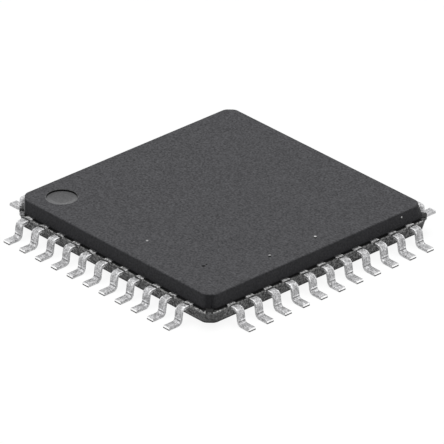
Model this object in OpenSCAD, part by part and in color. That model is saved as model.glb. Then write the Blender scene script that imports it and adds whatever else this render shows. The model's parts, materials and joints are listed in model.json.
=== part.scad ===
// Microcontroller in a 44-lead thin quad flat pack.
// Origin: centre of the package on its seating plane. +Z is up, lead 1 is at the (-X, -Y) corner
// and the leads count anticlockwise seen from above. All lengths are in millimetres.

/* [Body] */
// Width of the square body at the parting plane
body_w = 10; // [9.6:0.1:12]
// Height of the moulding from its underside to its top
body_h = 1; // [0.9:0.05:1.4]
// Height of the underside above the seating plane
standoff = 0.07; // [0.05:0.01:0.15]
// Draft angle of the side walls, from the vertical
draft = 12; // [5:1:15]
// Ledge round the parting plane, where the upper half stands back from the lower one
ledge_w = 0.105; // [0.06:0.005:0.16]
// Flat across each corner, measured along both walls and the same at every height
corner_flat = 0.27; // [0.2:0.01:0.4]

/* [Marks in the moulding] */
// Diameter of the round recess that marks lead 1
dimple_d = 1.05; // [0.6:0.05:1.4]
// Depth of that recess
dimple_depth = 0.07; // [0.04:0.01:0.1]
// Distance of its centre from the two nearest edges of the top face
dimple_inset = 1.04; // [0.9:0.02:1.4]
// Diameter of the ejector-pin mark in the middle of the underside
ejector_d = 1.8; // [1:0.1:3]
// Depth of the ejector-pin mark
ejector_depth = 0.03; // [0.02:0.005:0.06]

/* [Leads] */
// Leads along each side
leads_per_side = 11; // [5:1:11]
// Distance between neighbouring leads
lead_pitch = 0.8; // [0.5:0.05:0.85]
// Width of a lead
lead_w = 0.3; // [0.22:0.01:0.38]
// Thickness of the lead-frame sheet
lead_t = 0.1; // [0.09:0.01:0.13]
// Reach of a lead from the body's parting plane to its tip
lead_reach = 1; // [0.9:0.05:1.3]
// Flat length of the foot
foot_l = 0.4; // [0.3:0.02:0.5]
// Slant of the drop between shoulder and foot, from the vertical
drop_slant = 8; // [2:1:15]
// Inside radius of the bend at the shoulder
shoulder_bend_r = 0.1; // [0.06:0.01:0.16]
// Inside radius of the bend at the heel
heel_bend_r = 0.1; // [0.06:0.01:0.16]

/* [Lead frame inside the body] */
// Width of the square die paddle
paddle_w = 5; // [4.8:0.1:6]
// Drop of the paddle below the plane of the leads
downset = 0.15; // [0.1:0.01:0.2]
// Width of the tie bars that run from the paddle to the body's corners
tie_w = 0.25; // [0.15:0.01:0.35]
// Slope of a tie bar where it steps down to the paddle
tie_slope = 45; // [30:5:60]
// Length of tie bar that stays level beside the paddle's corner
tie_level = 0.25; // [0.15:0.05:0.5]
// Sheared end of a tie bar, proud of the body's corner
tie_proud = 0.02; // [0.01:0.01:0.05]
// Least gap between a tie bar and the leads beside it
tie_gap = 0.1; // [0.06:0.01:0.2]
// Gap between the paddle and the tips of the leads
tip_gap = 0.3; // [0.2:0.05:0.6]
// Distance between neighbouring lead tips
tip_pitch = 0.44; // [0.34:0.02:0.46]
// Width of a lead tip
tip_w = 0.2; // [0.14:0.01:0.28]
// Straight length of a lead tip
tip_l = 0.35; // [0.3:0.05:0.6]
// Straight length of a lead just inside the body wall
anchor_l = 0.35; // [0.2:0.05:0.5]

/* [Die and bonding] */
// Width of the square die
die_w = 3.6; // [3.2:0.1:4.2]
// Thickness of the die
die_h = 0.25; // [0.15:0.01:0.3]
// Thickness of the die-attach film
attach_t = 0.02; // [0.01:0.005:0.04]
// Die-attach film showing round the die
attach_margin = 0.1; // [0.05:0.01:0.25]
// Diameter of the bond wire
wire_d = 0.03; // [0.018:0.002:0.036]
// Rise of the bond wire's arc above its chord
wire_rise = 0.2; // [0.12:0.01:0.24]
// Distance between neighbouring bond pads
pad_pitch = 0.28; // [0.2:0.01:0.3]
// Distance from the die's edge to the middle of its bond pads
pad_inset = 0.12; // [0.08:0.01:0.2]
// Diameter of the ball bond on the die
ball_d = 0.08; // [0.06:0.005:0.1]
// Diameter of the crushed bond on the lead tip
stitch_d = 0.1; // [0.08:0.005:0.13]
// Height of both bonds
bond_h = 0.04; // [0.036:0.002:0.06]
// Distance from the end of a lead tip to the middle of its bond
stitch_inset = 0.15; // [0.1:0.01:0.25]

/* [Hidden] */
$fn = 48;
lead_count = 4 * leads_per_side;
parting_z = standoff + body_h / 2;
top_z = standoff + body_h;
half_h = body_h / 2;
taper = half_h * tan(draft);
upper_w = body_w - 2 * ledge_w;
top_face_w = upper_w - 2 * taper;

// The lead frame's sheet lies with its middle on the parting plane
lead_bottom = parting_z - lead_t / 2;
lead_top = parting_z + lead_t / 2;
paddle_bottom = lead_bottom - downset;
paddle_top = paddle_bottom + lead_t;
die_bottom = paddle_top + attach_t;
die_top = die_bottom + die_h;

// Middle radii, turn and straight length of the gull wing, which ends with its foot on the seating plane
shoulder_mid_r = shoulder_bend_r + lead_t / 2;
heel_mid_r = heel_bend_r + lead_t / 2;
turn = 90 - drop_slant;
fall = parting_z - lead_t / 2;
drop_l = (fall - (shoulder_mid_r + heel_mid_r) * (1 - cos(turn))) / sin(turn);
wing_run = (shoulder_mid_r + heel_mid_r) * sin(turn) + drop_l * cos(turn) + foot_l;
shoulder_out = body_w / 2 + lead_reach - wing_run;
// Length of plate that the formed part shares, so that the two are one piece of sheet at any size
plate_lap = lead_t;

// A lead turns towards its tip where its straight part ends, and the row's end lead keeps clear of the tie bar
tip_out = paddle_w / 2 + tip_gap;
row_end = row_place(leads_per_side - 1, lead_pitch) + lead_w / 2;
clear_out = row_end + (tie_w / 2 + tie_gap) * sqrt(2);
anchor_out = max(body_w / 2 - anchor_l, clear_out);
corner_out = (body_w - corner_flat) / sqrt(2);
paddle_corner_out = paddle_w / 2 * sqrt(2);

function two_digits(k) = k < 10 ? str("0", k) : str(k);
function lead_name(k) = str("lead_", two_digits(k));
function row_place(i, pitch) = (i - (leads_per_side - 1) / 2) * pitch;

// Bar along X, w wide on z = 0, whose two long walls lean in on their way up
module drafted_bar(w, lean) {
    rotate([90, 0, 90])
        linear_extrude(2 * w, center = true)
            polygon([[-w / 2, 0], [w / 2, 0], [w / 2 - lean, half_h], [lean - w / 2, half_h]]);
}

// Square block with drafted walls and flats across its corners, wide end on z = 0
module drafted_block(w) {
    intersection() {
        drafted_bar(w, taper);
        rotate([0, 0, 90])
            drafted_bar(w, taper);
        rotate([0, 0, 45])
            drafted_bar((w - corner_flat) * sqrt(2), taper * sqrt(2));
        rotate([0, 0, 135])
            drafted_bar((w - corner_flat) * sqrt(2), taper * sqrt(2));
    }
}

module moulding() {
    translate([0, 0, parting_z]) {
        drafted_block(upper_w);
        mirror([0, 0, 1])
            drafted_block(body_w);
    }
}

module lead_1_dimple() {
    place = dimple_inset - top_face_w / 2;
    translate([place, place, top_z - dimple_depth])
        cylinder(d = dimple_d, h = 2 * dimple_depth);
}

module ejector_mark() {
    translate([0, 0, standoff - ejector_depth])
        cylinder(d = ejector_d, h = 2 * ejector_depth);
}

// Flat stamped part of lead i of a row, from its bonding tip out to the shoulder bend
module lead_plate(i) {
    x = row_place(i, lead_pitch);
    tip_x = row_place(i, tip_pitch);
    translate([0, 0, lead_bottom])
        linear_extrude(lead_t)
            polygon([
                [x - lead_w / 2, -shoulder_out],
                [x + lead_w / 2, -shoulder_out],
                [x + lead_w / 2, -anchor_out],
                [tip_x + tip_w / 2, -tip_out - tip_l],
                [tip_x + tip_w / 2, -tip_out],
                [tip_x - tip_w / 2, -tip_out],
                [tip_x - tip_w / 2, -tip_out - tip_l],
                [x - lead_w / 2, -anchor_out]
            ]);
}

// Strip of sheet along +X from the origin, its middle on z = 0
module strip(length) {
    translate([0, -lead_w / 2, -lead_t / 2])
        cube([length, lead_w, lead_t]);
}

// Bend of the strip about a line that lies mid_r to one side of it, 1 for downwards and -1 for upwards.
// What follows the bend is drawn in the frame of its far end.
module bend(mid_r, side) {
    translate([0, 0, -side * mid_r])
        rotate([90, 0, 0])
            rotate([0, 0, side * 90])
                rotate_extrude(angle = -side * turn)
                    translate([mid_r - lead_t / 2, -lead_w / 2])
                        square([lead_t, lead_w]);
    translate([mid_r * sin(turn), 0, -side * mid_r * (1 - cos(turn))])
        rotate([0, side * turn, 0])
            children();
}

// Formed part of a lead: lap on the plate, shoulder bend, slanted drop, heel bend and flat foot
module gull_wing() {
    translate([-plate_lap, 0, 0])
        strip(plate_lap);
    bend(shoulder_mid_r, 1) {
        union() {
            strip(drop_l);
            translate([drop_l, 0, 0])
                bend(heel_mid_r, -1)
                    strip(foot_l);
        }
    }
}

module lead(k) {
    side = floor((k - 1) / leads_per_side);
    i = (k - 1) % leads_per_side;
    color("silver")
        rotate([0, 0, 90 * side]) {
            lead_plate(i);
            translate([row_place(i, lead_pitch), -shoulder_out, parting_z])
                rotate([0, 0, -90])
                    gull_wing();
        }
}

// Tie bar along +X, level at the paddle, then stepped up to the plane of the leads
module tie_bar() {
    step_run = downset / tan(tie_slope);
    step_in = paddle_corner_out + tie_level;
    step_out = step_in + step_run;
    end_out = corner_out + tie_proud;
    root_in = paddle_corner_out - tie_w;
    shift = lead_t * tan(tie_slope / 2);
    rotate([90, 0, 0])
        linear_extrude(tie_w, center = true)
            polygon([
                [root_in, paddle_bottom],
                [step_in, paddle_bottom],
                [step_out, lead_bottom],
                [end_out, lead_bottom],
                [end_out, lead_top],
                [step_out - shift, lead_top],
                [step_in - shift, paddle_top],
                [root_in, paddle_top]
            ]);
}

module die_paddle() {
    color("peru") {
        translate([-paddle_w / 2, -paddle_w / 2, paddle_bottom])
            cube([paddle_w, paddle_w, lead_t]);
        for (a = [45 : 90 : 315])
            rotate([0, 0, a])
                tie_bar();
    }
}

module die_attach() {
    attach_w = die_w + 2 * attach_margin;
    color("lightgray")
        translate([-attach_w / 2, -attach_w / 2, paddle_top])
            cube([attach_w, attach_w, attach_t]);
}

module die() {
    color("slategray")
        translate([-die_w / 2, -die_w / 2, die_bottom])
            cube([die_w, die_w, die_h]);
}

// Arc of wire in the XZ plane from the origin to (run, 0, drop), bulging upwards
module wire_arc(run, drop) {
    chord = norm([run, drop]);
    arc_r = (chord * chord / 4 + wire_rise * wire_rise) / (2 * wire_rise);
    half_angle = asin(chord / 2 / arc_r);
    lean = atan2(drop, run);
    rotate([0, -lean, 0])
        translate([chord / 2, 0, wire_rise - arc_r])
            rotate([90, 0, 0])
                rotate([0, 0, 90 - half_angle])
                    rotate_extrude(angle = 2 * half_angle)
                        translate([arc_r, 0])
                            circle(d = wire_d);
}

// Bond wire i of a row: ball on the die, arc, and crushed bond on the lead tip
module bond_wire(i) {
    pad = [row_place(i, pad_pitch), -die_w / 2 + pad_inset];
    stitch = [row_place(i, tip_pitch), -tip_out - stitch_inset];
    way = stitch - pad;
    translate([pad.x, pad.y, die_top])
        cylinder(d = ball_d, h = bond_h);
    translate([stitch.x, stitch.y, lead_top])
        cylinder(d = stitch_d, h = bond_h);
    translate([pad.x, pad.y, die_top + bond_h / 2])
        rotate([0, 0, atan2(way.y, way.x)])
            wire_arc(norm(way), lead_top - die_top);
}

module bond_wires() {
    color("gold")
        for (side = [0 : 3])
            rotate([0, 0, 90 * side])
                for (i = [0 : leads_per_side - 1])
                    bond_wire(i);
}

// One moulding, cast round everything that it holds
module body() {
    color("#2c2c2f")
        difference() {
            moulding();
            lead_1_dimple();
            ejector_mark();
            for (side = [0 : 3])
                rotate([0, 0, 90 * side])
                    for (i = [0 : leads_per_side - 1])
                        lead_plate(i);
            die_paddle();
            die_attach();
            die();
            bond_wires();
        }
}

body();
die_paddle();
die_attach();
die();
bond_wires();
for (k = [1 : lead_count])
    lead(k);
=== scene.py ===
"""Looks of a microcontroller in a thin quad flat pack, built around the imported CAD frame."""
import json
import math

import bmesh
import bpy
from mathutils import Matrix, Vector


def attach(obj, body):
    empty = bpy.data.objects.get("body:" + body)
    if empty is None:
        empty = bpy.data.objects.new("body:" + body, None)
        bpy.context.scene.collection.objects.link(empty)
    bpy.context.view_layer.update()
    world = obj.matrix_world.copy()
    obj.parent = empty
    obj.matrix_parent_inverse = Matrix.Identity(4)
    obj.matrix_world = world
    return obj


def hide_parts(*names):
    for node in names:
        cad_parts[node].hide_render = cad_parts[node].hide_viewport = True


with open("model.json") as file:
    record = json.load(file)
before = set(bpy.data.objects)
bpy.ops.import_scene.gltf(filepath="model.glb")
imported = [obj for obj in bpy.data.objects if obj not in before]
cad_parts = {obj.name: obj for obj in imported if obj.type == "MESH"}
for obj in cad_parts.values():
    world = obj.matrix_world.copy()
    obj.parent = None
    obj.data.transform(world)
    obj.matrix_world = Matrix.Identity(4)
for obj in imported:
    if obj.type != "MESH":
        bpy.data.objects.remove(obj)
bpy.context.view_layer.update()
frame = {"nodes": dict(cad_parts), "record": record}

MM = 0.001

# Sizes of the package, as in the part's source, in metres
BODY_W = 10 * MM
BODY_H = 1 * MM
STANDOFF = 0.07 * MM
DRAFT = math.radians(12)
LEDGE_W = 0.105 * MM
CORNER_FLAT = 0.27 * MM
# The gate was snapped off at the corner by lead 1 and took more of it: flats at the underside,
# the parting plane, the foot of the upper half and the top
GATE_UNDER = 0.46 * MM
GATE_LEDGE = 0.52 * MM
GATE_FOOT = 0.52 * MM
GATE_TOP = 0.32 * MM
# Signs of x and y at the four corners, the one at the gate first
CORNERS = ((-1, -1), (1, -1), (1, 1), (-1, 1))
GATE_CORNER = CORNERS[0]
HALF_W = BODY_W / 2
HALF_H = BODY_H / 2
PARTING_Z = STANDOFF + HALF_H
TOP_Z = STANDOFF + BODY_H
TAPER = HALF_H * math.tan(DRAFT)
# Band under the parting plane that the flash at the corners reaches down to
FLASH_H = 0.06 * MM
DIMPLE_R = 0.525 * MM
DIMPLE_DEPTH = 0.07 * MM
DIMPLE_INSET = 1.04 * MM
DIMPLE_AT = DIMPLE_INSET - (HALF_W - LEDGE_W - TAPER)
EJECTOR_R = 0.9 * MM
EJECTOR_DEPTH = 0.03 * MM
# Eased edges: upright ones beside the corner flats, the rims of the top and of the underside, the mouths
# of the recess and of the ejector mark, and the edges of a lead
CORNER_EASE = 0.1 * MM
RIM_EASE = 0.045 * MM
DIMPLE_EASE = 0.035 * MM
EJECTOR_EASE = 0.012 * MM
LEAD_EASE = 0.016 * MM
# Rings of the ledge, by their distance in from its edge, and how far in the crumbs of flash stand
LEDGE_RINGS = (0.012 * MM, 0.03 * MM, 0.05 * MM, LEDGE_W)
CRUMB_NEAR = 0.005 * MM
CRUMB_FAR = 0.035 * MM
# Heights of the crumbs along the ledge and at the corners
CRUMB_H = 0.015 * MM
CORNER_CRUMB_H = 0.03 * MM
# Angles between faces, in radians, past which an edge of the body or of a lead is a sharp one
BODY_SHARP = 0.5
LEAD_SHARP = 1
# Angles past which their shading breaks
BODY_SMOOTH = math.radians(35)
LEAD_SMOOTH = math.radians(40)
# How much of a face's normal lies along an axis: it looks squarely that way, or just leans that way
SQUARELY = 0.9
LEANING = 0.2

LEADS_PER_SIDE = 11
LEAD_PITCH = 0.8 * MM
LEAD_W = 0.3 * MM
LEAD_T = 0.1 * MM
LEAD_REACH = 1 * MM
FOOT_L = 0.4 * MM
DROP_SLANT = 8
TURN = math.radians(90 - DROP_SLANT)
INNER_BEND_R = 0.1 * MM
BEND_R = INNER_BEND_R + LEAD_T / 2
DROP_L = (PARTING_Z - LEAD_T / 2 - 2 * BEND_R * (1 - math.cos(TURN))) / math.sin(TURN)
WING_RUN = 2 * BEND_R * math.sin(TURN) + DROP_L * math.cos(TURN) + FOOT_L
SHOULDER_OUT = HALF_W + LEAD_REACH - WING_RUN
LEAD_TOP = PARTING_Z + LEAD_T / 2
ANCHOR_L = 0.35 * MM
ANCHOR_OUT = HALF_W - ANCHOR_L
TIP_OUT = 2.8 * MM
TIP_L = 0.35 * MM
TIP_PITCH = 0.44 * MM
TIP_W = 0.2 * MM
PADDLE_W = 5 * MM
DOWNSET = 0.15 * MM
TIE_W = 0.25 * MM
TIE_LEVEL = 0.25 * MM
TIE_PROUD = 0.02 * MM
# Heights in millimetres and how light a lead is there, 0.5 being plain: rubbed bands at the heel with a
# dark band in its crease that is painted shade, and a rubbed shoulder, the plain sheared sides, the edges
# of the shoulder, partly burnished and partly a painted highlight, and the darker lower half of the end
# that was cut to length
HEEL_MARKS = ((0.09, 0.5), (0.12, 0.68), (0.155, 0.62), (0.17, 0.28), (0.195, 0.28), (0.21, 0.82),
              (0.24, 0.76), (0.265, 0.48), (0.44, 0.5), (0.5, 0.53), (0.61, 0.53))
SIDE_MARKS = ((0.1, 0.5),)
EDGE_MARKS = ((0.44, 0.7), (0.47, 0.26), (0.58, 0.26), (0.612, 0.5))
END_MARKS = ((0.047, 0.02), (0.057, 0.66))
# Dust and pits on the body, and the painted shadows of two dust flakes, the black spots beside them: how
# far an edge fades to either side, then places and radii, all in millimetres, and colours
SPECK_FADE = 0.012
SPECKS_AND_SHADOWS = (((4.13, 0.512, 1.07), 0.05, "#040404"), ((4.06, 0.573, 1.07), 0.042, "#c0c0c0"),
          ((4.068, -1.475, 1.07), 0.05, "#040404"), ((3.999, -1.413, 1.07), 0.038, "#a8a8a8"),
          ((0.497, -3.705, 1.07), 0.04, "#b0b0b0"), ((4.82, 3.78, 0.92), 0.03, "#b0b0b0"),
          ((3.077, -3.513, 1.07), 0.06, "#080808"), ((3.068, -3.372, 1.07), 0.035, "#101010"))
# Where a row of leads ends along its side, and where the finish past it is full
ROW_END = 4.25 * MM
ROW_PAST = 4.45 * MM
# Sums of x and y where the broken resin at the gate and at the vent begins and is full
GATE_BREAK = (-9.22 * MM, -9.26 * MM)
VENT_BREAK = (9.2 * MM, 9.3 * MM)
# Distances from the middle of the body: resin coats a lead to the first, a film of it goes on to the
# second, and each ends over a short fade
COAT_OUT = 4.95 * MM
FILM_OUT = 5.05 * MM
FILM_FADE = 0.015 * MM
# Part of a noise texture's range that its values mostly lie in
NOISE_LOW = 0.3
NOISE_HIGH = 0.7


def linear(colour):
    """Linear RGBA of an sRGB hex colour such as "#8f8f90"."""
    parts = [int(colour[i:i + 2], 16) / 255 for i in (1, 3, 5)]
    return tuple(p / 12.92 if p <= 0.04045 else ((p + 0.055) / 1.055) ** 2.4 for p in parts) + (1.0,)


def add_node(tree, kind, inputs=None, **settings):
    """A node with its settings; an input is a plain value or another node's output.
    Inputs go by number where names repeat: a Mix node has its factor at 0 and its colours at 6 and 7, and
    gives the colour at 2. A Map Range has the value at 0, its range at 1 and 2, and what that becomes at
    3 and 4, which are 0 and 1 where they aren't given."""
    node = tree.nodes.new(kind)
    for name, value in settings.items():
        setattr(node, name, value)
    for socket, value in (inputs or {}).items():
        if isinstance(value, bpy.types.NodeSocket):
            tree.links.new(value, node.inputs[socket])
        else:
            node.inputs[socket].default_value = value
    return node


def new_material(name):
    """An empty material with a shader; returns it, its tree, the shader and Object coordinates."""
    material = bpy.data.materials.new(name)
    material.use_nodes = True
    tree = material.node_tree
    shader = tree.nodes["Principled BSDF"]
    return material, tree, shader, add_node(tree, "ShaderNodeTexCoord").outputs["Object"]


def silica_filled_epoxy():
    # Transfer-moulded black epoxy: the top carries the mould's fine spark-eroded grain and scatters grey,
    # the drafted walls slid out of a smooth mould and are coloured darker, partly for that finish and partly
    # as painted shade, and the flats across the corners darker still as painted shade, the lower half is
    # duller and mottled between the leads and painted darker along its lower rim as shade, the pin that
    # formed the recess left it paler, with painted light and shade inside it, thin flash along the ledge
    # dries to light grey, palest past the rows of leads, with painted shade on the ledge at the foot of the
    # upper wall, and the resin broken at the gate and at the vent across from it is a mottled crust. The
    # real grain, about 0.02 mm, is too fine to show, so it is drawn at 0.07 mm.
    material, tree, shader, where = new_material("silica_filled_epoxy")

    # Where a point lies: by height, by its distances along and across the sides, past the outline at the
    # parting plane, and from the recess
    place = add_node(tree, "ShaderNodeSeparateXYZ", {0: where})
    height = place.outputs["Z"]
    folded = add_node(tree, "ShaderNodeVectorMath", {0: where}, operation="ABSOLUTE").outputs[0]
    sides = add_node(tree, "ShaderNodeSeparateXYZ", {0: folded})
    farther = add_node(tree, "ShaderNodeMath", {0: sides.outputs["X"], 1: sides.outputs["Y"]},
                       operation="MAXIMUM").outputs[0]
    nearer = add_node(tree, "ShaderNodeMath", {0: sides.outputs["X"], 1: sides.outputs["Y"]},
                      operation="MINIMUM").outputs[0]
    past_wall = add_node(tree, "ShaderNodeMath", {0: farther, 1: HALF_W}, operation="SUBTRACT").outputs[0]
    both = add_node(tree, "ShaderNodeMath", {0: farther, 1: nearer}, operation="ADD").outputs[0]
    past_flat = add_node(tree, "ShaderNodeMath", {0: both, 1: 0.5, 2: CORNER_FLAT / 2 - HALF_W},
                         operation="MULTIPLY_ADD").outputs[0]
    past = add_node(tree, "ShaderNodeMath", {0: past_wall, 1: past_flat}, operation="MAXIMUM").outputs[0]
    diagonal = add_node(tree, "ShaderNodeVectorMath", {0: where, 1: (1, 1, 0)},
                        operation="DOT_PRODUCT").outputs["Value"]
    dimple_mid = (DIMPLE_AT, DIMPLE_AT, TOP_Z)
    from_dimple = add_node(tree, "ShaderNodeVectorMath", {0: where, 1: dimple_mid},
                           operation="DISTANCE").outputs["Value"]
    aside = add_node(tree, "ShaderNodeVectorMath", {0: where, 1: dimple_mid}, operation="SUBTRACT").outputs[0]
    along = add_node(tree, "ShaderNodeVectorMath", {0: aside, 1: (0.75, -0.66, 0)},
                     operation="DOT_PRODUCT").outputs["Value"]

    # Top, lower half, flats across the corners, stretches past the rows of leads, and the lower rim, which is
    # darkened as painted shade
    on_top = add_node(tree, "ShaderNodeMapRange",
                      {0: height, 1: TOP_Z - 0.035 * MM, 2: TOP_Z - 0.002 * MM}).outputs[0]
    on_lower = add_node(tree, "ShaderNodeMapRange",
                        {0: height, 1: PARTING_Z + 0.002 * MM, 2: PARTING_Z - 0.02 * MM}).outputs[0]
    leaned = add_node(tree, "ShaderNodeMath", {0: height, 1: PARTING_Z}, operation="SUBTRACT").outputs[0]
    leaned = add_node(tree, "ShaderNodeMath", {0: leaned}, operation="ABSOLUTE").outputs[0]
    leaned = add_node(tree, "ShaderNodeMath", {0: leaned, 1: math.tan(DRAFT), 2: nearer},
                      operation="MULTIPLY_ADD").outputs[0]
    set_back = add_node(tree, "ShaderNodeMapRange", {0: on_lower, 3: LEDGE_W, 4: 0}).outputs[0]
    leaned = add_node(tree, "ShaderNodeMath", {0: leaned, 1: set_back}, operation="ADD").outputs[0]
    flat_start = HALF_W - CORNER_FLAT
    on_flat = add_node(tree, "ShaderNodeMapRange",
                       {0: leaned, 1: flat_start - 0.06 * MM, 2: flat_start + 0.06 * MM}).outputs[0]
    past_row = add_node(tree, "ShaderNodeMapRange", {0: nearer, 1: ROW_END, 2: ROW_PAST}).outputs[0]
    under_rim_shade = add_node(tree, "ShaderNodeMapRange",
                         {0: height, 1: STANDOFF + 0.09 * MM, 2: STANDOFF + 0.05 * MM}).outputs[0]

    # The recess: its steep wall, painted near black as shade, and its floor painted lighter towards one side,
    # with a crescent of painted highlight at its mouth on that side
    in_dimple = add_node(tree, "ShaderNodeMapRange",
                         {0: from_dimple, 1: DIMPLE_R + 0.04 * MM, 2: DIMPLE_R + 0.03 * MM}).outputs[0]
    below_mouth = add_node(tree, "ShaderNodeMapRange",
                           {0: height, 1: TOP_Z - 0.004 * MM, 2: TOP_Z - 0.02 * MM}).outputs[0]
    floor_z = TOP_Z - DIMPLE_DEPTH
    above_floor = add_node(tree, "ShaderNodeMapRange",
                           {0: height, 1: floor_z + 0.001 * MM, 2: floor_z + 0.006 * MM}).outputs[0]
    steep = add_node(tree, "ShaderNodeMath", {0: below_mouth, 1: above_floor},
                     operation="MULTIPLY").outputs[0]
    lit_side = add_node(tree, "ShaderNodeMapRange", {0: along, 1: -0.3 * MM, 2: 0.5 * MM}).outputs[0]
    glint_mid = Vector(dimple_mid) - Vector((0.09, -0.08, 0)) * MM
    from_glint = add_node(tree, "ShaderNodeVectorMath", {0: where, 1: glint_mid},
                         operation="DISTANCE").outputs["Value"]
    at_mouth = add_node(tree, "ShaderNodeMapRange",
                        {0: from_glint, 1: DIMPLE_R - 0.14 * MM, 2: DIMPLE_R - 0.08 * MM}).outputs[0]
    mouth = add_node(tree, "ShaderNodeMath", {0: at_mouth, 1: lit_side}, operation="MULTIPLY").outputs[0]

    # Fine grain, broad uneven tone, and crumbs of broken resin
    grain = add_node(tree, "ShaderNodeTexNoise",
                     {"Vector": where, "Scale": 1 / (0.07 * MM), "Detail": 3, "Roughness": 0.6}).outputs[0]
    blotch = add_node(tree, "ShaderNodeTexNoise",
                      {"Vector": where, "Scale": 1 / (0.6 * MM), "Detail": 2}).outputs[0]
    crumb = add_node(tree, "ShaderNodeTexNoise",
                     {"Vector": where, "Scale": 1 / (0.08 * MM), "Detail": 2}).outputs[0]
    mottle = add_node(tree, "ShaderNodeMapRange", {0: crumb, 1: 0.4, 2: 0.6}).outputs[0]

    # Flash on the outer edge of the ledge, thinner on one side and reaching lower at the corners, and painted
    # shade on the ledge between it and the upper wall
    thinner = add_node(tree, "ShaderNodeMapRange",
                       {0: place.outputs["X"], 1: 4.6 * MM, 2: 4.9 * MM, 4: 0.01 * MM}).outputs[0]
    thinned = add_node(tree, "ShaderNodeMath", {0: past, 1: thinner}, operation="SUBTRACT").outputs[0]
    on_edge = add_node(tree, "ShaderNodeMapRange",
                       {0: thinned, 1: -0.035 * MM, 2: -0.01 * MM}).outputs[0]
    lift = add_node(tree, "ShaderNodeMapRange",
                    {0: nearer, 1: ROW_END - 0.05 * MM, 2: ROW_PAST, 4: 0.03 * MM}).outputs[0]
    level = add_node(tree, "ShaderNodeMath", {0: height, 1: lift}, operation="ADD").outputs[0]
    raised = add_node(tree, "ShaderNodeMapRange",
                      {0: level, 1: PARTING_Z - 0.08 * MM, 2: PARTING_Z - 0.045 * MM}).outputs[0]
    broken = add_node(tree, "ShaderNodeMapRange", {0: crumb, 1: 0.36, 2: 0.58, 3: 0.15, 4: 1}).outputs[0]
    rim = add_node(tree, "ShaderNodeMath", {0: on_edge, 1: raised}, operation="MULTIPLY").outputs[0]
    flash = add_node(tree, "ShaderNodeMath", {0: rim, 1: broken}, operation="MULTIPLY").outputs[0]
    on_ledge = add_node(tree, "ShaderNodeMapRange",
                        {0: height, 1: PARTING_Z + 0.07 * MM, 2: PARTING_Z + 0.01 * MM}).outputs[0]
    inner = add_node(tree, "ShaderNodeMath", {0: on_ledge, 1: on_edge}, operation="SUBTRACT").outputs[0]
    ledge_shade = add_node(tree, "ShaderNodeMath", {0: inner, 1: on_lower}, operation="SUBTRACT",
                      use_clamp=True).outputs[0]

    # Broken resin at the gate, and on the ledge at the vent
    at_gate = add_node(tree, "ShaderNodeMapRange",
                       {0: diagonal, 1: GATE_BREAK[0], 2: GATE_BREAK[1]}).outputs[0]
    at_vent = add_node(tree, "ShaderNodeMapRange",
                       {0: diagonal, 1: VENT_BREAK[0], 2: VENT_BREAK[1], 4: on_ledge}).outputs[0]
    at_vent = add_node(tree, "ShaderNodeMath", {0: at_vent, 1: on_flat}, operation="MULTIPLY").outputs[0]
    broken_out = add_node(tree, "ShaderNodeMath", {0: at_gate, 1: at_vent}, operation="MAXIMUM").outputs[0]
    crust = add_node(tree, "ShaderNodeMath", {0: broken_out, 1: on_top}, operation="SUBTRACT",
                     use_clamp=True).outputs[0]

    # Colours of the walls, the recess, the flash and the crust, and the painted shade on the ledge, then each
    # laid over the ones before
    # The walls darker than the top, partly for their smooth finish and partly as painted shade; the flats
    # across the corners darker still, as painted shade
    upper = add_node(tree, "ShaderNodeMix", {0: on_flat, 6: linear("#2f2f31"), 7: linear("#232325")},
                     data_type="RGBA").outputs[2]
    dull = add_node(tree, "ShaderNodeMix", {0: mottle, 6: linear("#424242"), 7: linear("#808080")},
                    data_type="RGBA").outputs[2]
    lower = add_node(tree, "ShaderNodeMix", {0: past_row, 6: dull, 7: linear("#525252")},
                     data_type="RGBA").outputs[2]
    # Painted shade darkens the lower half towards its bottom rim
    lower = add_node(tree, "ShaderNodeMix", {0: under_rim_shade, 6: lower, 7: linear("#1c1c1c")},
                     data_type="RGBA").outputs[2]
    # Inside the recess: painted light on one side of the floor, painted shade on the steep wall, and a
    # painted highlight at the mouth
    pressed = add_node(tree, "ShaderNodeMix", {0: lit_side, 6: linear("#525253"), 7: linear("#5d5d5e")},
                       data_type="RGBA").outputs[2]
    pressed = add_node(tree, "ShaderNodeMix", {0: steep, 6: pressed, 7: linear("#101011")},
                       data_type="RGBA").outputs[2]
    pressed = add_node(tree, "ShaderNodeMix", {0: mouth, 6: pressed, 7: linear("#6c6c6d")},
                       data_type="RGBA").outputs[2]
    dried = add_node(tree, "ShaderNodeMix", {0: past_row, 6: linear("#949493"), 7: linear("#c4c4c3")},
                     data_type="RGBA").outputs[2]
    fractured = add_node(tree, "ShaderNodeMix", {0: at_vent, 6: linear("#929293"), 7: linear("#6a6a6a")},
                         data_type="RGBA").outputs[2]
    fractured = add_node(tree, "ShaderNodeMix", {0: mottle, 6: linear("#343434"), 7: fractured},
                         data_type="RGBA").outputs[2]
    colour = upper
    for cover, over in ((on_lower, lower), (on_top, linear("#464648")), (in_dimple, pressed),
                        (ledge_shade, linear("#0c0c0c")), (flash, dried), (crust, fractured)):
        colour = add_node(tree, "ShaderNodeMix", {0: cover, 6: colour, 7: over}, data_type="RGBA").outputs[2]
    # Dust, pits, and the painted shadows of two dust flakes
    for spot, radius, shade in SPECKS_AND_SHADOWS:
        apart = add_node(tree, "ShaderNodeVectorMath", {0: where, 1: Vector(spot) * MM},
                         operation="DISTANCE").outputs["Value"]
        speck_and_shadow = add_node(tree, "ShaderNodeMapRange",
                         {0: apart, 1: (radius + SPECK_FADE) * MM, 2: (radius - SPECK_FADE) * MM}).outputs[0]
        colour = add_node(tree, "ShaderNodeMix", {0: speck_and_shadow, 6: colour, 7: linear(shade)},
                          data_type="RGBA").outputs[2]

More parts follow.
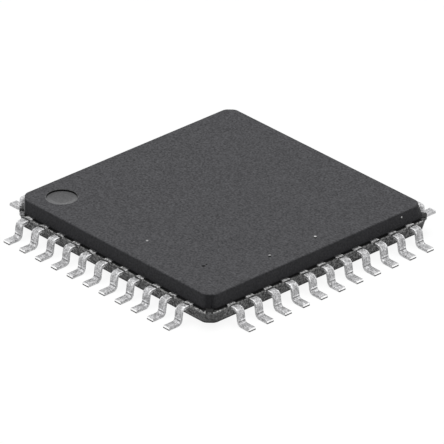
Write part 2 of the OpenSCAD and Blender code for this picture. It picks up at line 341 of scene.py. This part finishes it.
    # Speckle of the grain, as deep as each surface has it
    depth = add_node(tree, "ShaderNodeMapRange", {0: on_top, 3: 0.3, 4: 0.5}).outputs[0]
    for zone, deeper in ((on_lower, 0.4), (in_dimple, -0.1)):
        depth = add_node(tree, "ShaderNodeMath", {0: zone, 1: deeper, 2: depth},
                         operation="MULTIPLY_ADD").outputs[0]
    speckle = add_node(tree, "ShaderNodeMapRange",
                       {0: grain, 1: NOISE_LOW, 2: NOISE_HIGH, 3: -1, 4: 1}).outputs[0]
    speckle = add_node(tree, "ShaderNodeMath", {0: speckle, 1: depth, 2: 1},
                       operation="MULTIPLY_ADD").outputs[0]
    speckle = add_node(tree, "ShaderNodeMath", {0: speckle, 1: 0.15}, operation="MAXIMUM").outputs[0]
    tone = add_node(tree, "ShaderNodeMapRange", {0: blotch, 1: 0.2, 2: 0.8, 3: 0.95, 4: 1.05}).outputs[0]
    shade = add_node(tree, "ShaderNodeMath", {0: speckle, 1: tone}, operation="MULTIPLY").outputs[0]
    shaded = add_node(tree, "ShaderNodeVectorMath", {0: colour, "Scale": shade}, operation="SCALE").outputs[0]
    gloss = add_node(tree, "ShaderNodeMapRange", {0: on_top, 3: 0.55, 4: 0.75}).outputs[0]
    bump = add_node(tree, "ShaderNodeBump",
                    {"Strength": 0.8, "Distance": 0.012 * MM, "Height": grain}).outputs[0]
    tree.links.new(shaded, shader.inputs["Base Color"])
    tree.links.new(gloss, shader.inputs["Roughness"])
    tree.links.new(bump, shader.inputs["Normal"])
    shader.inputs["Specular IOR Level"].default_value = 0.08
    return material


def matte_tin_plate(name, colour, roughness, marks, bare=(5.135, 5.15)):
    # Electroplated matte tin on copper-alloy sheet: a pale dull grey, streaked by the forming tools and
    # finely crystalline. By the body a pale film of resin covers it, and past the film a dark line crosses
    # it.
    # The marks are heights in millimetres and how light the metal is there; 0.5 is plain. Between the two
    # distances in bare, in millimetres from the middle of the body, the metal comes clear of the dark; on
    # the sheared sides that dark reaches farther out and is painted shade by the body.
    # The real crystals, a few micrometres, are too fine to show, so they are drawn at 0.05 mm.
    material, tree, shader, where = new_material(name)
    folded = add_node(tree, "ShaderNodeVectorMath", {0: where}, operation="ABSOLUTE").outputs[0]
    axes = add_node(tree, "ShaderNodeSeparateXYZ", {0: folded})
    out = add_node(tree, "ShaderNodeMath", {0: axes.outputs["X"], 1: axes.outputs["Y"]},
                   operation="MAXIMUM").outputs[0]
    drawn = add_node(tree, "ShaderNodeVectorMath", {0: where, 1: (1, 1, 0.5)},
                     operation="MULTIPLY").outputs[0]
    streak = add_node(tree, "ShaderNodeTexNoise",
                      {"Vector": drawn, "Scale": 1 / (0.12 * MM), "Detail": 3}).outputs[0]
    crystal = add_node(tree, "ShaderNodeTexNoise",
                       {"Vector": where, "Scale": 1 / (0.05 * MM), "Detail": 2}).outputs[0]

    # Resin by the body: what it coats, the film past that, and the dark up to the bare metal, on the sheared
    # sides reaching farther as painted shade
    ragged = add_node(tree, "ShaderNodeMapRange",
                      {0: streak, 1: NOISE_LOW, 2: NOISE_HIGH, 3: -0.025 * MM, 4: 0.025 * MM}).outputs[0]
    reach = add_node(tree, "ShaderNodeMath", {0: out, 1: ragged}, operation="ADD").outputs[0]
    metal = add_node(tree, "ShaderNodeMapRange", {0: reach, 1: bare[0] * MM, 2: bare[1] * MM}).outputs[0]
    film = add_node(tree, "ShaderNodeMapRange",
                    {0: reach, 1: FILM_OUT + FILM_FADE, 2: FILM_OUT}).outputs[0]
    coated = add_node(tree, "ShaderNodeMapRange",
                      {0: reach, 1: COAT_OUT + FILM_FADE, 2: COAT_OUT}).outputs[0]
    tint = add_node(tree, "ShaderNodeMix", {0: metal, 6: linear("#1c1c1c"), 7: linear(colour)},
                    data_type="RGBA").outputs[2]
    blot = add_node(tree, "ShaderNodeTexNoise",
                    {"Vector": where, "Scale": 1 / (0.1 * MM), "Detail": 1}).outputs[0]
    blot = add_node(tree, "ShaderNodeMapRange", {0: blot, 1: 0.38, 2: 0.62}).outputs[0]
    resin = add_node(tree, "ShaderNodeMix", {0: blot, 6: linear("#7c7c7c"), 7: linear("#a8a8a8")},
                     data_type="RGBA").outputs[2]
    tint = add_node(tree, "ShaderNodeMix", {0: film, 6: tint, 7: resin}, data_type="RGBA").outputs[2]
    tint = add_node(tree, "ShaderNodeMix", {0: coated, 6: tint, 7: linear("#2a2a2b")},
                    data_type="RGBA").outputs[2]

    # Marks by height, rubbed or dulled edges, streaks and crystals
    height = add_node(tree, "ShaderNodeMapRange", {0: axes.outputs["Z"], 1: 0, 2: LEAD_TOP}).outputs[0]
    worn = add_node(tree, "ShaderNodeValToRGB", {0: height})
    stops = worn.color_ramp.elements
    for level, light in marks:
        stops.new(level * MM / LEAD_TOP).color = (light, light, light, 1)
    stops[0].color = stops[1].color
    stops[-1].color = (0.5, 0.5, 0.5, 1)
    across = add_node(tree, "ShaderNodeMath", {0: axes.outputs["X"], 1: axes.outputs["Y"]},
                      operation="MINIMUM").outputs[0]
    aside = add_node(tree, "ShaderNodeMath", {0: across, 1: LEAD_PITCH / 2}, operation="PINGPONG").outputs[0]
    edge = add_node(tree, "ShaderNodeMapRange", {0: aside, 1: 0.09 * MM, 2: 0.13 * MM}).outputs[0]
    shoulder = add_node(tree, "ShaderNodeMapRange",
                        {0: axes.outputs["Z"], 1: 0.44 * MM, 2: 0.52 * MM}).outputs[0]
    rubbed = add_node(tree, "ShaderNodeMapRange", {0: shoulder, 3: -0.08, 4: 0.45}).outputs[0]
    rubbed = add_node(tree, "ShaderNodeMath", {0: rubbed, 1: edge, 2: 1}, operation="MULTIPLY_ADD").outputs[0]
    fleck = add_node(tree, "ShaderNodeMapRange",
                     {0: crystal, 1: NOISE_LOW, 2: NOISE_HIGH, 3: 0.5, 4: 1.5}).outputs[0]
    tone = add_node(tree, "ShaderNodeMapRange",
                    {0: streak, 1: NOISE_LOW, 2: NOISE_HIGH, 3: 1.5, 4: 2.5}).outputs[0]
    for factor in (worn.outputs[0], rubbed, fleck):
        tone = add_node(tree, "ShaderNodeMath", {0: tone, 1: factor}, operation="MULTIPLY").outputs[0]
    shaded = add_node(tree, "ShaderNodeVectorMath", {0: tint, "Scale": tone}, operation="SCALE").outputs[0]
    rough = add_node(tree, "ShaderNodeMapRange", {0: crystal, 1: NOISE_LOW, 2: NOISE_HIGH,
                                                  3: roughness - 0.06, 4: roughness + 0.06}).outputs[0]
    bump = add_node(tree, "ShaderNodeBump",
                    {"Strength": 0.5, "Distance": 0.003 * MM, "Height": crystal}).outputs[0]
    tree.links.new(shaded, shader.inputs["Base Color"])
    tree.links.new(rough, shader.inputs["Roughness"])
    tree.links.new(metal, shader.inputs["Metallic"])
    tree.links.new(bump, shader.inputs["Normal"])
    return material


def rolled_copper_alloy():
    # Bare rolled sheet of the lead frame, warm and satin inside the resin. Outside, the sheared ends of
    # the tie bars are dull, smeared with resin and tarnished nearly to its colour.
    material, tree, shader, where = new_material("rolled_copper_alloy")
    grain = add_node(tree, "ShaderNodeTexNoise",
                     {"Vector": where, "Scale": 1 / (0.1 * MM), "Detail": 3}).outputs[0]
    flat = add_node(tree, "ShaderNodeVectorMath", {0: where, 1: (1, 1, 0)}, operation="MULTIPLY").outputs[0]
    reach = add_node(tree, "ShaderNodeVectorMath", {0: flat}, operation="LENGTH").outputs["Value"]
    wall_out = 6.5 * MM
    outside = add_node(tree, "ShaderNodeMapRange",
                       {0: reach, 1: wall_out - 0.05 * MM, 2: wall_out}).outputs[0]
    sheet = add_node(tree, "ShaderNodeMix", {0: grain, 6: linear("#a86c48"), 7: linear("#c88a62")},
                     data_type="RGBA").outputs[2]
    height = add_node(tree, "ShaderNodeSeparateXYZ", {0: where}).outputs["Z"]
    diagonal = add_node(tree, "ShaderNodeVectorMath", {0: where, 1: (1, 1, 0)},
                        operation="DOT_PRODUCT").outputs["Value"]
    gate_side = -8 * MM
    at_gate = add_node(tree, "ShaderNodeMapRange",
                       {0: diagonal, 1: gate_side, 2: gate_side - 0.1 * MM}).outputs[0]
    torn = add_node(tree, "ShaderNodeMapRange",
                    {0: height, 1: PARTING_Z + 0.02 * MM, 2: PARTING_Z}).outputs[0]
    torn = add_node(tree, "ShaderNodeMath", {0: torn, 1: at_gate}, operation="MAXIMUM").outputs[0]
    flecked = add_node(tree, "ShaderNodeMapRange", {0: grain, 1: 0.5, 2: 0.62, 4: torn}).outputs[0]
    smeared = add_node(tree, "ShaderNodeMix", {0: flecked, 6: linear("#0c0c0c"), 7: linear("#626262")},
                       data_type="RGBA").outputs[2]
    tint = add_node(tree, "ShaderNodeMix", {0: outside, 6: sheet, 7: smeared}, data_type="RGBA").outputs[2]
    metal = add_node(tree, "ShaderNodeMapRange", {0: outside, 3: 1, 4: 0}).outputs[0]
    rough = add_node(tree, "ShaderNodeMapRange", {0: outside, 3: 0.35, 4: 0.7}).outputs[0]
    tree.links.new(tint, shader.inputs["Base Color"])
    tree.links.new(metal, shader.inputs["Metallic"])
    tree.links.new(rough, shader.inputs["Roughness"])
    return material


def grained(name, colour, deep, roughness, metallic, grain_mm):
    # Sealed inner pieces: plain finishes of cured film, polished silicon and drawn wire, each with the light
    # and dark of its own grain, drawn coarser than the real one, which is too fine to show.
    material, tree, shader, where = new_material(name)
    grain = add_node(tree, "ShaderNodeTexNoise",
                     {"Vector": where, "Scale": 1 / (grain_mm * MM), "Detail": 2}).outputs[0]
    tint = add_node(tree, "ShaderNodeMix", {0: grain, 6: linear(deep), 7: linear(colour)},
                    data_type="RGBA").outputs[2]
    bump = add_node(tree, "ShaderNodeBump",
                    {"Strength": 0.2, "Distance": 0.001 * MM, "Height": grain}).outputs[0]
    tree.links.new(tint, shader.inputs["Base Color"])
    tree.links.new(bump, shader.inputs["Normal"])
    shader.inputs["Roughness"].default_value = roughness
    shader.inputs["Metallic"].default_value = metallic
    return material


def begin(name, primitive, **settings):
    """A primitive at its size and place, with the place in its mesh, left in edit mode."""
    bpy.ops.object.select_all(action="DESELECT")
    primitive(**settings)
    piece = bpy.context.object
    piece.name = piece.data.name = name
    bpy.ops.object.transform_apply(location=True, rotation=True, scale=True)
    bpy.ops.object.mode_set(mode="EDIT")
    bpy.ops.mesh.select_all(action="SELECT")
    return piece


def pick(piece, kind, wanted):
    """Selects the vertices, edges or faces for which wanted() holds, and nothing else."""
    bpy.ops.mesh.select_mode(type=kind)
    bpy.ops.mesh.select_all(action="DESELECT")
    work = bmesh.from_edit_mesh(piece.data)
    for part in {"VERT": work.verts, "EDGE": work.edges, "FACE": work.faces}[kind]:
        part.select_set(wanted(part))
    work.select_flush_mode()
    bmesh.update_edit_mesh(piece.data)


def near(a, b):
    """Whether two measures agree to a micrometre."""
    return abs(a - b) < 0.001 * MM


def past_edge(point):
    """Distance past the body's outline at the parting plane, negative within it."""
    x, y = abs(point.x), abs(point.y)
    return max(max(x, y) - HALF_W, (x + y + CORNER_FLAT) / 2 - HALF_W)


def slide_ends(body, level, half, gate_flat):
    """Slides the ends of the flats across an outline's corners along the walls to their places."""
    for x, y in CORNERS:
        flat = gate_flat if (x, y) == GATE_CORNER else CORNER_FLAT
        for axis, end in ((0, (x * (half - flat), y * half)), (1, (x * half, y * (half - flat)))):
            pick(body, "VERT", lambda v: near(v.co.z, level) and near(v.co[1 - axis], end[1 - axis])
                 and v.co[axis] * end[axis] > 0)
            now = next(v.co[axis] for v in bmesh.from_edit_mesh(body.data).verts if v.select)
            slide = Vector((0, 0, 0))
            slide[axis] = end[axis] - now
            bpy.ops.transform.translate(value=slide)


def draw_outline(body, facing, old, new):
    """Draws the level face that looks up or down from one outline in to the next. An outline is a height,
    a half width and the flat at the gate. An inset shortens the flats, so their ends then slide back."""
    level, half, gate_flat = new
    pick(body, "FACE", lambda f: f.normal.z * facing > SQUARELY and f.calc_center_median().xy.length < MM)
    bpy.ops.mesh.inset(thickness=old[1] - half, depth=abs(old[0] - level))
    slide_ends(body, level, half, gate_flat)


def cut_recess(body, radius, centre, floor_z, mouth_z, ease):
    """Sinks a round recess between its floor and its mouth, and eases the edge of the mouth."""
    bpy.ops.object.mode_set(mode="OBJECT")
    cutter = begin("recess_cutter", bpy.ops.mesh.primitive_cylinder_add, vertices=96, radius=radius,
                   depth=2 * abs(mouth_z - floor_z), location=(centre[0], centre[1], mouth_z))
    bpy.ops.object.mode_set(mode="OBJECT")
    bpy.ops.object.select_all(action="DESELECT")
    body.select_set(True)
    bpy.context.view_layer.objects.active = body
    bpy.ops.object.modifier_add(type="BOOLEAN")
    cut = body.modifiers[-1]
    cut.operation = "DIFFERENCE"
    cut.object = cutter
    bpy.ops.object.modifier_apply(modifier=cut.name)
    bpy.data.objects.remove(cutter)
    bpy.ops.object.mode_set(mode="EDIT")
    pick(body, "EDGE", lambda e: all(near(v.co.z, mouth_z) and
         near(math.hypot(v.co.x - centre[0], v.co.y - centre[1]), radius) for v in e.verts))
    bpy.ops.mesh.bevel(offset=ease, segments=3, affect="EDGES")


def mould_body(epoxy):
    """The moulding, drawn down and up from its outline at the parting plane."""
    body = begin("moulded_body", bpy.ops.mesh.primitive_plane_add, size=BODY_W, location=(0, 0, PARTING_Z))
    bpy.ops.mesh.bevel(offset=CORNER_FLAT, segments=1, affect="VERTICES")
    slide_ends(body, PARTING_Z, HALF_W, GATE_LEDGE)
    bpy.ops.mesh.select_mode(type="FACE")
    bpy.ops.mesh.select_all(action="SELECT")
    bpy.ops.mesh.duplicate()
    bpy.ops.mesh.flip_normals()
    lower = ((PARTING_Z - FLASH_H, HALF_W - FLASH_H * math.tan(DRAFT), GATE_LEDGE),
             (STANDOFF, HALF_W - TAPER, GATE_UNDER))
    ledge = tuple((PARTING_Z, HALF_W - step, GATE_LEDGE + (GATE_FOOT - GATE_LEDGE) * step / LEDGE_W)
                  for step in LEDGE_RINGS)
    upper = ((TOP_Z, HALF_W - LEDGE_W - TAPER, GATE_TOP),)
    for facing, outlines in ((-1, lower), (1, ledge + upper)):
        last = (PARTING_Z, HALF_W, GATE_LEDGE)
        for outline in outlines:
            draw_outline(body, facing, last, outline)
            last = outline
    # The upright edges beside the flats are eased first, while the walls are still whole, apart from the
    # short ones in the band of flash
    pick(body, "EDGE", lambda e: e.calc_face_angle(0) > BODY_SHARP and e.calc_length() > 0.2 * MM
         and not near(e.verts[0].co.z, e.verts[1].co.z))
    bpy.ops.mesh.bevel(offset=CORNER_EASE, segments=4, affect="EDGES")
    # The walls in short stretches, then the flats across the corners: edges longer than this, and cuts
    for longer, cuts in ((0.5 * MM, 9), (0.5 * MM, 19), (0.15 * MM, 6)):
        pick(body, "EDGE", lambda e: near(e.verts[0].co.z, e.verts[1].co.z) and e.calc_length() > longer)
        bpy.ops.mesh.subdivide(number_cuts=cuts)
    bpy.ops.mesh.select_all(action="SELECT")
    bpy.ops.mesh.remove_doubles(threshold=0.0001 * MM)
    for level in (STANDOFF, TOP_Z):
        pick(body, "EDGE", lambda e: all(near(v.co.z, level) for v in e.verts)
             and e.calc_face_angle(0) > BODY_SHARP)
        bpy.ops.mesh.bevel(offset=RIM_EASE, segments=3, affect="EDGES")
    # Flash: crumbs along the ledge, and coarser ones at the corners, beside the ends of the tie bars
    pick(body, "VERT", lambda v: near(v.co.z, PARTING_Z) and -CRUMB_FAR < past_edge(v.co) < -CRUMB_NEAR)
    bpy.ops.transform.vertex_random(offset=CRUMB_H, uniform=0.3, normal=1, seed=4)
    pick(body, "VERT", lambda v: min(abs(v.co.x), abs(v.co.y)) > HALF_W - CORNER_FLAT - 0.1 * MM
         and PARTING_Z - 0.02 * MM < v.co.z < PARTING_Z + 0.02 * MM)
    bpy.ops.transform.vertex_random(offset=CORNER_CRUMB_H, uniform=0.3, normal=0.7, seed=4)
    cut_recess(body, DIMPLE_R, (DIMPLE_AT, DIMPLE_AT), TOP_Z - DIMPLE_DEPTH, TOP_Z, DIMPLE_EASE)
    cut_recess(body, EJECTOR_R, (0, 0), STANDOFF + EJECTOR_DEPTH, STANDOFF, EJECTOR_EASE)
    bpy.ops.object.mode_set(mode="OBJECT")
    bpy.ops.object.shade_smooth_by_angle(angle=BODY_SMOOTH)
    bpy.ops.object.modifier_add(type="WEIGHTED_NORMAL")
    body.modifiers[-1].keep_sharp = True
    bpy.ops.object.modifier_apply(modifier=body.modifiers[-1].name)
    body.data.materials.append(epoxy)
    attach(body, "root")
    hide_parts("body")


def stamp_paddle(copper):
    """Die paddle and its four stepped tie bars, the one at the gate snapped off shorter."""
    paddle_z = PARTING_Z - LEAD_T / 2 - DOWNSET
    paddle = begin("stamped_paddle", bpy.ops.mesh.primitive_plane_add, size=PADDLE_W,
                   location=(0, 0, paddle_z))
    tie_flat = TIE_W / math.sqrt(2)
    bpy.ops.mesh.bevel(offset=tie_flat, segments=1, affect="VERTICES")
    bpy.ops.mesh.select_all(action="SELECT")
    bpy.ops.mesh.extrude_region_move(TRANSFORM_OT_translate={"value": (0, 0, LEAD_T)})
    bpy.ops.mesh.select_all(action="SELECT")
    bpy.ops.mesh.normals_make_consistent(inside=False)
    root = (PADDLE_W - tie_flat) / math.sqrt(2)
    step = PADDLE_W / math.sqrt(2) + TIE_LEVEL
    for x, y in CORNERS:
        flat = GATE_LEDGE if (x, y) == GATE_CORNER else CORNER_FLAT
        end = (BODY_W - flat) / math.sqrt(2) + TIE_PROUD
        pick(paddle, "FACE", lambda f: f.normal.x * x > 0.5 and f.normal.y * y > 0.5
             and f.calc_center_median().x * x > 0 and f.calc_center_median().y * y > 0)
        for run, rise in ((step - root, 0), (DOWNSET, DOWNSET), (end - step - DOWNSET, 0)):
            along = run / math.sqrt(2)
            bpy.ops.mesh.extrude_region_move(TRANSFORM_OT_translate={"value": (x * along, y * along, rise)})
    bpy.ops.object.mode_set(mode="OBJECT")
    paddle.data.materials.append(copper)
    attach(paddle, "root")
    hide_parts("die_paddle")


def form_lead(finishes):
    """The formed part of a lead, in the middle of the front row: plate edge, bends, drop and foot.
    The finishes are those of its faces, its sheared sides, the edges of its shoulder and its cut end."""
    lead = begin("formed_lead", bpy.ops.mesh.primitive_plane_add, size=MM,
                 location=(0, -ANCHOR_OUT, PARTING_Z), rotation=(math.pi / 2, 0, 0))
    bpy.ops.transform.resize(value=(LEAD_W / MM, 1, LEAD_T / MM), center_override=(0, -ANCHOR_OUT, PARTING_Z))
    bpy.ops.mesh.extrude_region_move(TRANSFORM_OT_translate={"value": (0, ANCHOR_OUT - SHOULDER_OUT, 0)})
    along = Vector((0, -math.cos(TURN), -math.sin(TURN)))
    across = Vector((0, -math.sin(TURN), math.cos(TURN)))
    shoulder = Vector((0, -SHOULDER_OUT, PARTING_Z - BEND_R))
    heel = shoulder + across * BEND_R + along * DROP_L + across * BEND_R
    bpy.ops.mesh.spin(steps=10, angle=-TURN, center=shoulder, axis=(1, 0, 0))
    bpy.ops.mesh.extrude_region_move(TRANSFORM_OT_translate={"value": along * DROP_L})
    bpy.ops.mesh.spin(steps=10, angle=TURN, center=heel, axis=(1, 0, 0))
    bpy.ops.mesh.extrude_region_move(TRANSFORM_OT_translate={"value": (0, -FOOT_L, 0)})
    bpy.ops.mesh.select_all(action="SELECT")
    bpy.ops.mesh.normals_make_consistent(inside=False)
    pick(lead, "EDGE", lambda e: e.calc_face_angle(0) > LEAD_SHARP
         and not all(near(v.co.y, -ANCHOR_OUT) for v in e.verts))
    bpy.ops.mesh.bevel(offset=LEAD_EASE, segments=2, affect="EDGES")
    rules = (lambda f: True,
             lambda f: abs(f.normal.x) > SQUARELY,
             lambda f: LEANING < abs(f.normal.x) < SQUARELY and f.normal.z - f.normal.y > LEANING
             and f.calc_center_median().z > PARTING_Z - BEND_R,
             lambda f: f.normal.y < -LEANING
             and f.calc_center_median().y < -HALF_W - LEAD_REACH + LEAD_EASE)
    for index, (finish, rule) in enumerate(zip(finishes, rules)):
        lead.data.materials.append(finish)
        lead.active_material_index = index
        pick(lead, "FACE", rule)
        bpy.ops.object.material_slot_assign()
    bpy.ops.object.mode_set(mode="OBJECT")
    bpy.ops.object.shade_smooth_by_angle(angle=LEAD_SMOOTH)
    return lead


def set_lead(pattern, k):
    """Copy k of the formed lead, drawn in to its bonding tip and turned to its side of the body."""
    side, i = divmod(k - 1, LEADS_PER_SIDE)
    place = i - (LEADS_PER_SIDE - 1) / 2
    bpy.ops.object.select_all(action="DESELECT")
    pattern.select_set(True)
    bpy.context.view_layer.objects.active = pattern
    bpy.ops.object.duplicate()
    lead = bpy.context.object
    lead.name = lead.data.name = f"plated_lead_{k:02d}"
    bpy.ops.object.mode_set(mode="EDIT")
    bpy.ops.mesh.select_all(action="SELECT")
    bpy.ops.transform.translate(value=(place * LEAD_PITCH, 0, 0))
    pick(lead, "FACE", lambda f: f.normal.y > SQUARELY and near(f.calc_center_median().y, -ANCHOR_OUT))
    turn_in = (place * (TIP_PITCH - LEAD_PITCH), ANCHOR_OUT - TIP_OUT - TIP_L, 0)
    bpy.ops.mesh.extrude_region_move(TRANSFORM_OT_translate={"value": turn_in})
    bpy.ops.transform.resize(value=(TIP_W / LEAD_W, 1, 1),
                             center_override=(place * TIP_PITCH, -TIP_OUT - TIP_L, PARTING_Z))
    bpy.ops.mesh.extrude_region_move(TRANSFORM_OT_translate={"value": (0, TIP_L, 0)})
    bpy.ops.object.mode_set(mode="OBJECT")
    lead.rotation_euler.z = side * math.pi / 2
    bpy.ops.object.transform_apply(location=True, rotation=True, scale=True)
    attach(lead, "root")
    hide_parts(f"lead_{k:02d}")


def light_path_seen(tree):
    """1 for rays from the camera, from a reflection or through glass, and 0 for light on a surface."""
    path = add_node(tree, "ShaderNodeLightPath")
    seen = add_node(tree, "ShaderNodeMath",
                    {0: path.outputs["Is Camera Ray"], 1: path.outputs["Is Glossy Ray"]},
                    operation="MAXIMUM").outputs[0]
    return add_node(tree, "ShaderNodeMath", {0: seen, 1: path.outputs["Is Transmission Ray"]},
                    operation="MAXIMUM").outputs[0]


def lay_floor():
    """A plain white table top that keeps a pale shadow."""
    floor_w = 600 * MM
    even_white = 0.9
    bpy.ops.object.select_all(action="DESELECT")
    bpy.ops.mesh.primitive_plane_add(size=floor_w)
    floor = bpy.context.object
    floor.name = "floor"
    material, tree = new_material("white_table")[:2]
    paper = add_node(tree, "ShaderNodeBsdfDiffuse", {"Color": linear("#f4f4f4")}).outputs[0]
    white = add_node(tree, "ShaderNodeEmission", {"Strength": 1.0}).outputs[0]
    share = add_node(tree, "ShaderNodeMath", {0: light_path_seen(tree), 1: even_white},
                     operation="MULTIPLY").outputs[0]
    mixed = add_node(tree, "ShaderNodeMixShader", {0: share, 1: paper, 2: white}).outputs[0]
    tree.links.new(mixed, tree.nodes["Material Output"].inputs["Surface"])
    floor.data.materials.append(material)


def light_scene():
    """A soft white room and one softbox over the part, in two shares: only one shows in reflections."""
    room_light = 0.45
    softbox_w = 220 * MM
    softbox_at = Vector((-50, 40, 300)) * MM
    world = bpy.data.worlds.new("studio")
    bpy.context.scene.world = world
    world.use_nodes = True
    tree = world.node_tree
    soft = tree.nodes["Background"]
    soft.inputs["Color"].default_value = (1, 1, 1, 1)
    soft.inputs["Strength"].default_value = room_light
    white = add_node(tree, "ShaderNodeBackground", {"Color": (1, 1, 1, 1), "Strength": 1.0}).outputs[0]
    mixed = add_node(tree, "ShaderNodeMixShader",
                     {0: light_path_seen(tree), 1: soft.outputs[0], 2: white}).outputs[0]
    tree.links.new(mixed, tree.nodes["World Output"].inputs["Surface"])
    for name, power, mirrored in (("softbox_over", 0.58, False), ("softbox_sheen", 0.32, True)):
        lamp = bpy.data.lights.new(name, "AREA")
        lamp.size = softbox_w
        lamp.energy = power
        holder = bpy.data.objects.new(name, lamp)
        holder.location = softbox_at
        holder.rotation_euler = (-softbox_at).to_track_quat("-Z", "Y").to_euler()
        holder.visible_glossy = mirrored
        bpy.context.scene.collection.objects.link(holder)


def set_camera():
    """Long lens above the front corner, as the photograph was taken."""
    azimuth = math.radians(48.179)
    elevation = math.radians(28.205)
    roll = math.radians(-0.465)
    distance = 250.1 * MM
    aim_right = 0.0513 * MM
    aim_up = 0.1918 * MM
    focal_px = 7478.03
    photo_px = 444
    sensor_mm = 36
    back = Vector((math.sin(azimuth) * math.cos(elevation), -math.cos(azimuth) * math.cos(elevation),
                   math.sin(elevation)))
    level = Vector((math.cos(azimuth), math.sin(azimuth), 0))
    upright = back.cross(level)
    right = level * math.cos(roll) + upright * math.sin(roll)
    up = upright * math.cos(roll) - level * math.sin(roll)
    lens = bpy.data.cameras.new("camera")
    lens.sensor_width = sensor_mm
    lens.lens = focal_px * sensor_mm / photo_px
    camera = bpy.data.objects.new("camera", lens)
    turn = Matrix((right, up, back)).transposed().to_4x4()
    camera.matrix_world = Matrix.Translation(back * distance + right * aim_right + up * aim_up) @ turn
    bpy.context.scene.collection.objects.link(camera)
    bpy.context.scene.camera = camera


def main():
    """Camera, light and floor, then the finishes, and the pieces that carry them."""
    scene = bpy.context.scene
    scene.view_settings.view_transform = "Standard"
    set_camera()
    light_scene()
    lay_floor()
    epoxy = silica_filled_epoxy()
    plate = matte_tin_plate("matte_tin_plate", "#b5b5b6", 0.55, HEEL_MARKS)
    # The sheared sides stay dark out to 5.32 mm from the middle: painted shade by the body
    sheared = matte_tin_plate("sheared_tin_side", "#bababb", 0.45, SIDE_MARKS, bare=(5.05, 5.32))
    # The edges of the shoulder, near white: partly burnished, partly a painted highlight
    burnished_highlight = matte_tin_plate("burnished_tin_edge_highlight", "#f4f4f4", 0.3, EDGE_MARKS)
    cut_end = matte_tin_plate("cut_tin_end", "#f4f4f4", 0.4, END_MARKS)
    finishes = {
        "moulded_epoxy": epoxy,
        "tin_plate": plate,
        "copper_alloy": rolled_copper_alloy(),
        "silver_epoxy": grained("silver_filled_epoxy", "#c9c9c4", "#a5a5a0", 0.55, 0.0, 0.04),
        "silicon": grained("polished_silicon", "#5a5d66", "#4c4f58", 0.12, 0.0, 0.5),
        "gold_wire": grained("drawn_gold_wire", "#f0c75e", "#d6a73c", 0.25, 1.0, 0.02),
    }
    for part in frame["record"]["subparts"]:
        for holder in frame["nodes"][part["node"]].material_slots:
            holder.material = finishes[part["material_slot"]]
    mould_body(epoxy)
    stamp_paddle(finishes["copper_alloy"])
    pattern = form_lead((plate, sheared, burnished_highlight, cut_end))
    for k in range(1, 4 * LEADS_PER_SIDE + 1):
        set_lead(pattern, k)
    bpy.data.objects.remove(pattern)


main()
